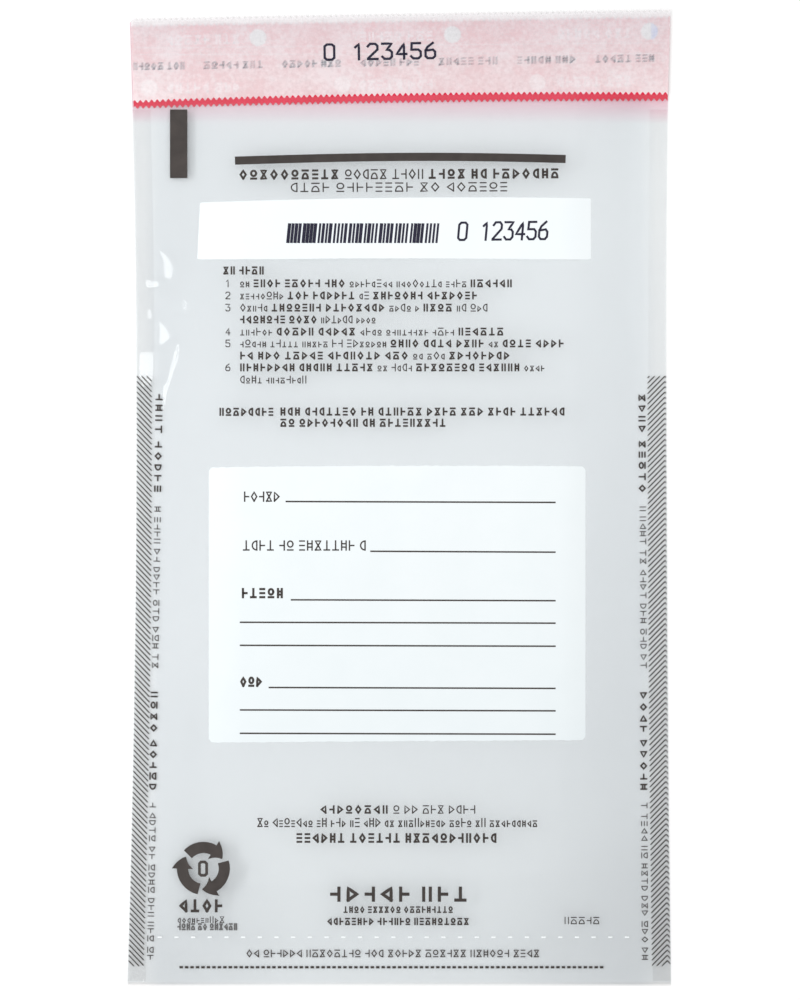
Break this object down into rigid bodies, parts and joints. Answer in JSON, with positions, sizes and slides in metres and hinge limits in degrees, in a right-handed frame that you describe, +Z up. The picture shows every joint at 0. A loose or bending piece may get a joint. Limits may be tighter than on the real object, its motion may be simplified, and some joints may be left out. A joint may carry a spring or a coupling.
{
  "type": "cash deposit bag",
  "caption": "Flat milky film pocket, welded at its sides, with a fold-over adhesive flap under a serrated paper strip, a numbered patch and a ruled white panel.",
  "frame": {"origin": "on the ground under the middle of the bag, which lies on its rear panel", "axes": "+Y towards the flap, along the length; +Z up out of the front panel; +X across the bag, to the right when its front is read"},
  "size_m": [0.1792, 0.3212, 0.0062],
  "materials": {
    "film": "milky translucent polythene film, soft gloss",
    "weld": "heat-fused film, slightly denser than the panels",
    "security_tape": "red tamper-evident tape with saw-toothed edges",
    "adhesive": "clear pressure-sensitive adhesive, tacky",
    "liner_paper": "thin translucent silicone-coated paper",
    "white_ink": "opaque white writable ink, matte",
    "print_ink": "warm dark grey flexographic ink"
  },
  "bodies": {
    "bag": {"rear_film": "film", "front_film": "film", "bottom_fold": "film", "left_side_weld": "weld", "right_side_weld": "weld", "serial_label": "white_ink", "write_on_panel": "white_ink"},
    "flap": {"flap_film": "film", "closure_tape": "security_tape", "adhesive_layer": "adhesive"},
    "liner": {"release_liner": "liner_paper"}
  },
  "joints": [
    {"name": "flap_fold", "type": "hinge", "parent": "bag", "child": "flap", "pos_m": [0, 0.13185, 0.0036], "axis": [1, 0, 0], "range_deg": [0, 180]},
    {"name": "liner_peel", "type": "slide", "parent": "flap", "child": "liner", "axis": [0.9999, 0.0163, 0], "range_m": [0, 0.185]}
  ]
}
